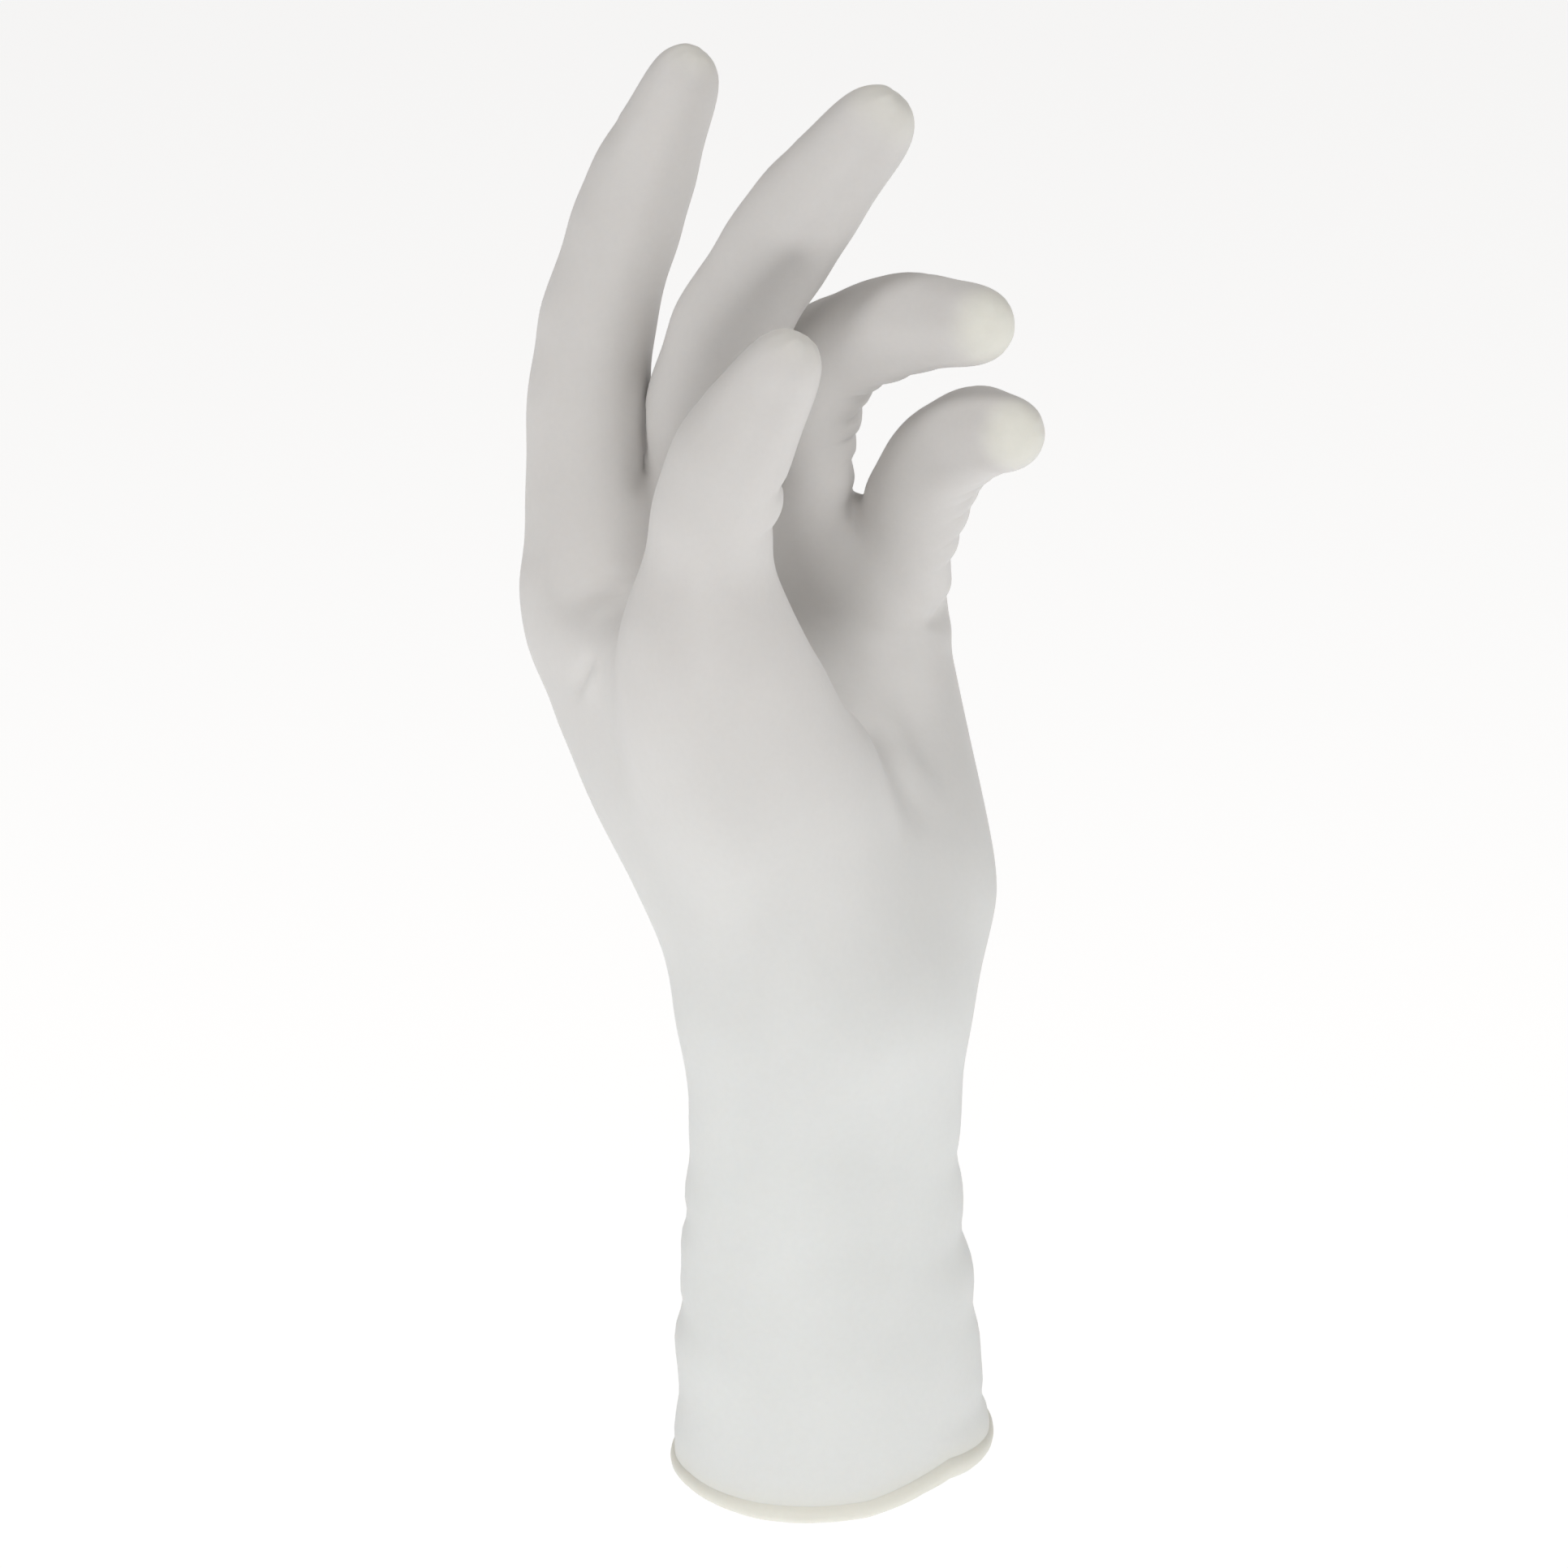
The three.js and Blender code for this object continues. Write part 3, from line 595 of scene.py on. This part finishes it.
def uneven_depths(points):
    """Soft uneven swells, larger on the loose cuff."""
    cuff = smooth_share(LOOSE_TOP - points[:, 2], 0, LOOSE_FADE)
    waves = [noise_at(points, row["size"], row["shift"]) for row in UNEVEN]
    on_cuff = sum(row["cuff"] * wave for row, wave in zip(UNEVEN, waves))
    on_hand = sum(row["hand"] * wave for row, wave in zip(UNEVEN, waves))
    return cuff * on_cuff + (1 - cuff) * on_hand


def nail_depths(places):
    """A flat nail's imprint on the outer side of each digit's end."""
    moved = np.zeros(len(places["ring"]["along"]))
    for name, height in NAILS.items():
        place = places[name]
        from_end = place["total"] - place["along"]
        shape = smooth_share(place["angle"], *NAIL_ANGLE)
        shape *= smooth_share(NAIL_LENGTH - from_end, 0, NAIL_FADE)
        moved += height * shape * place["own"]
    return moved


def swell_depths(points):
    moved = np.zeros(len(points))
    for swell in SWELLS:
        away = np.linalg.norm(points - np.array(swell["at"]), axis=1)
        moved += swell["height"] * np.exp(-((away / swell["reach"]) ** 2))
    return moved


# Pieces
def side_of(points):
    """Radians round the mouth from the photograph's right edge towards the back."""
    return np.arctan2(points[:, 1], points[:, 0])


def rim_value(column, sides):
    """A column of RIM at the given sides."""
    return np.interp(np.degrees(sides), [row["side"] for row in RIM], [row[column] for row in RIM])


def height_above(edge, points, sides):
    """Height of the points above the film's edge, which is wavy."""
    edge_sides = side_of(edge)
    order = np.argsort(edge_sides)
    below = np.interp(sides, edge_sides[order], edge[order, 2], period=2 * math.pi)
    return np.maximum(points[:, 2] - below, 0)


def thick_and_edge_shade(places, above):
    """How much of its thick colour the latex shows: thicker latex at the digits' ends, and painted
    shade in a band just above the edge.
    """
    tips = []
    for name, place in places.items():
        end = smooth_share(place["past"], 0, THICK_TIP_LENGTH)
        tips.append(THICK_TIPS[name] * end * place["own"])
    # the band at the edge is painted shade
    return np.maximum(np.max(tips, axis=0), PAINTED_EDGE_SHADE * np.exp(-above / PAINTED_EDGE_SHADE_HEIGHT))


def shaped_film():
    """The film with its folds, and the order of the vertices on its edge."""
    piece = smooth_film()
    refine(piece, near_folds(points_of(piece.data) / MM))
    mesh = piece.data
    mesh.update()
    points = points_of(mesh) / MM
    normals = normals_of(mesh)
    places = digit_places(points)
    rim = rim_loop(mesh)
    sides = side_of(points)
    above = height_above(points[rim], points, sides)
    moved = crease_depths(places) + fold_depths(points, normals) + cuff_depths(points, normals)
    moved += uneven_depths(points) + nail_depths(places) + swell_depths(points)
    moved *= smooth_share(above, 0, CALM_HEIGHT)
    moved += FLARE_OUT * np.exp(-above / FLARE_HEIGHT)
    shaped = points + normals * moved[:, None]
    shaped[:, 2] += rim_value("lift", sides) * np.exp(-above / LIFT_HEIGHT)
    set_points(mesh, shaped * MM)
    # thick latex at the digits' ends, and painted shade just above the edge
    add_float(mesh, "thick", thick_and_edge_shade(places, above))
    add_float(mesh, "cool", smooth_share(WARM_ABOVE - points[:, 2], 0, WARM_ABOVE - COOL_BELOW))
    return piece, rim


def tuck_in(piece, rim):
    """Leads the film's edge down into the rolled edge."""
    work = bmesh.new()
    work.from_mesh(piece.data)
    work.verts.ensure_lookup_table()
    on_rim = {work.verts[i] for i in rim}
    edges = [e for e in work.edges if e.is_boundary and on_rim.issuperset(e.verts)]
    grown = bmesh.ops.extrude_edge_only(work, edges=edges)["geom"]
    for vert in grown:
        if isinstance(vert, bmesh.types.BMVert):
            vert.co.z -= TUCK * MM
    work.to_mesh(piece.data)
    work.free()


def uneven_radius(radius, place):
    share = 1
    for row in BEAD_WAVES:
        share += row["share"] * noise.noise(Vector(place / row["size"]) + Vector(row["shift"]))
    return radius * share


def make_bead(piece, rim):
    """The rolled edge: an uneven round bead under the film's edge."""
    edge = points_of(piece.data)[rim] / MM
    flat_out = normals_of(piece.data)[rim]
    flat_out[:, 2] = 0
    out = unit(flat_out)
    radii = rim_value("radius", side_of(edge))
    count = len(rim)
    verts = []
    for i in range(count):
        radius = uneven_radius(radii[i], edge[i])
        middle = edge[i] - out[i] * BEAD_IN * radius
        middle[2] -= BEAD_DROP * radius
        for k in range(BEAD_SIDES):
            angle = 2 * math.pi * k / BEAD_SIDES
            outward = out[i] * math.cos(angle) * radius
            upward = np.array([0, 0, math.sin(angle) * radius])
            verts.append((middle + outward + upward) * MM)
    faces = []
    for i in range(count):
        here = i * BEAD_SIDES
        ahead = (i + 1) % count * BEAD_SIDES
        for k in range(BEAD_SIDES):
            m = (k + 1) % BEAD_SIDES
            faces.append((here + k, ahead + k, ahead + m, here + m))
    mesh = bpy.data.meshes.new("rolled_edge")
    mesh.from_pydata(verts, [], faces)
    outside = bmesh.new()
    outside.from_mesh(mesh)
    bmesh.ops.recalc_face_normals(outside, faces=outside.faces)
    outside.to_mesh(mesh)
    outside.free()
    mesh.shade_smooth()
    add_float(mesh, "thick", np.ones(len(mesh.vertices)))
    add_float(mesh, "cool", np.ones(len(mesh.vertices)))
    return link("rolled_edge_bead", mesh)


# Materials
class Nodes:
    """A short way to add and join a tree's nodes."""

    def __init__(self, tree):
        self.tree = tree

    def add(self, kind, **values):
        node = self.tree.nodes.new(kind)
        for name, value in values.items():
            setattr(node, name, value)
        return node

    def join(self, output, target):
        self.tree.links.new(output, target)

    def attribute(self, name):
        return self.add("ShaderNodeAttribute", attribute_name=name).outputs["Fac"]

    def mix(self, share, first, second, blend="MIX"):
        """The two colours mixed by the share. Each may be a value or an output."""
        node = self.add("ShaderNodeMix", data_type="RGBA", blend_type=blend)
        factor, colour_a, colour_b = node.inputs[0], node.inputs[6], node.inputs[7]
        for socket, value in ((factor, share), (colour_a, first), (colour_b, second)):
            if isinstance(value, bpy.types.NodeSocket):
                self.join(value, socket)
            else:
                socket.default_value = value
        return node.outputs[2]

    def noise(self, place, row):
        node = self.add("ShaderNodeTexNoise")
        node.inputs["Scale"].default_value = row["per_metre"]
        node.inputs["Detail"].default_value = row["detail"]
        self.join(place, node.inputs["Vector"])
        return node.outputs["Fac"]

    def map_range(self, value, before, after):
        node = self.add("ShaderNodeMapRange")
        node.inputs["From Min"].default_value = before[0]
        node.inputs["From Max"].default_value = before[1]
        node.inputs["To Min"].default_value = after[0]
        node.inputs["To Max"].default_value = after[1]
        self.join(value, node.inputs["Value"])
        return node.outputs["Result"]

    def uneven(self, place, row):
        """Noise that lies between the row's low and high."""
        return self.map_range(self.noise(place, row), NOISE_RANGE, (row["low"], row["high"]))

    def bump(self, place, row):
        node = self.add("ShaderNodeBump")
        node.inputs["Strength"].default_value = row["strength"]
        node.inputs["Distance"].default_value = row["distance"]
        self.join(self.noise(place, row), node.inputs["Height"])
        return node


def new_material(name, settings):
    """A material with the shader's settings, its shader, and a way to add nodes."""
    material = bpy.data.materials.new(name)
    material.use_nodes = True
    shader = material.node_tree.nodes["Principled BSDF"]
    for socket, value in settings.items():
        shader.inputs[socket].default_value = value
    return material, shader, Nodes(material.node_tree)


def latex_material(name, gloss):
    """Satin latex: lighter and cooler low on the cuff, darker and warmer higher up the hand,
    yellowish where thick, with painted shade in a band above the rolled edge.
    """
    material, shader, nodes = new_material(name, LATEX)
    place = nodes.add("ShaderNodeTexCoord").outputs["Object"]
    colour = nodes.mix(nodes.attribute("cool"), WARM, COOL)
    # thick latex at the tips and on the rolled edge, and painted shade in a band above the rolled
    # edge
    colour = nodes.mix(nodes.attribute("thick"), colour, THICK_AND_EDGE_SHADE)
    colour = nodes.mix(1.0, colour, nodes.uneven(place, CLOUDS), "MULTIPLY")
    colour = nodes.mix(1.0, colour, nodes.uneven(place, SPECKS), "MULTIPLY")
    nodes.join(colour, shader.inputs["Base Color"])
    nodes.join(nodes.uneven(place, gloss), shader.inputs["Roughness"])
    dimples = nodes.bump(place, DIMPLES)
    grain = nodes.bump(place, GRAIN)
    nodes.join(dimples.outputs["Normal"], grain.inputs["Normal"])
    nodes.join(grain.outputs["Normal"], shader.inputs["Normal"])
    return material


# Camera, floor and light
def make_camera():
    data = bpy.data.cameras.new("camera")
    data.lens = CAMERA_LENS
    data.sensor_width = CAMERA_SENSOR
    data.clip_start, data.clip_end = CAMERA_CLIP
    camera = link("camera", data)
    camera.location = Vector(CAMERA_AT) * MM
    camera.rotation_euler = (math.radians(90 - CAMERA_DOWN), 0, 0)
    bpy.context.scene.camera = camera


def make_area_light(row):
    data = bpy.data.lights.new(row["name"], "AREA")
    data.shape = "DISK"
    data.size = row["size"]
    data.energy = row["watts"]
    lamp = link(row["name"], data)
    lamp.location = row["at"]
    ahead = Vector(LIGHTS_AIM) - Vector(row["at"])
    lamp.rotation_euler = ahead.to_track_quat("-Z", "Y").to_euler()


def make_floor():
    mesh = bpy.data.meshes.new("floor")
    corners = [(FLOOR_REACH * x, FLOOR_REACH * y, 0) for x, y in ((-1, -1), (1, -1), (1, 1), (-1, 1))]
    mesh.from_pydata(corners, [], [(0, 1, 2, 3)])
    floor = link("floor", mesh)
    floor.location.z = FLOOR_Z * MM
    mesh.materials.append(new_material("pale_floor", FLOOR)[0])


def make_world():
    """A studio with a bright backdrop behind and beside the glove, dim and warm elsewhere."""
    world = bpy.data.worlds.new("studio")
    bpy.context.scene.world = world
    world.use_nodes = True
    nodes = Nodes(world.node_tree)
    split = nodes.add("ShaderNodeSeparateXYZ")
    nodes.join(nodes.add("ShaderNodeTexCoord").outputs["Generated"], split.inputs["Vector"])
    both = nodes.add("ShaderNodeMath", operation="MULTIPLY")
    for i, (axis, fade) in enumerate(BACKDROP_FADES.items()):
        nodes.join(nodes.map_range(split.outputs[axis], fade, (0, 1)), both.inputs[i])
    background = world.node_tree.nodes["Background"]
    nodes.join(nodes.mix(both.outputs["Value"], ROOM, BACKDROP), background.inputs["Color"])
    background.inputs["Strength"].default_value = 1


film, rim = shaped_film()
bead = make_bead(film, rim)
tuck_in(film, rim)
film.data.shade_smooth()
lining = film.modifiers.new("lining", "SOLIDIFY")
lining.thickness = WALL * MM
lining.offset = -1
film.data.materials.append(latex_material("satin_latex", FILM_GLOSS))
bead.data.materials.append(latex_material("rolled_latex", BEAD_GLOSS))

make_camera()
make_floor()
for row in LIGHTS:
    make_area_light(row)
make_world()
bpy.context.scene.view_settings.view_transform = "Standard"

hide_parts("glove_film")
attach(film, "root")
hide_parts("cuff_bead")
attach(bead, "root")
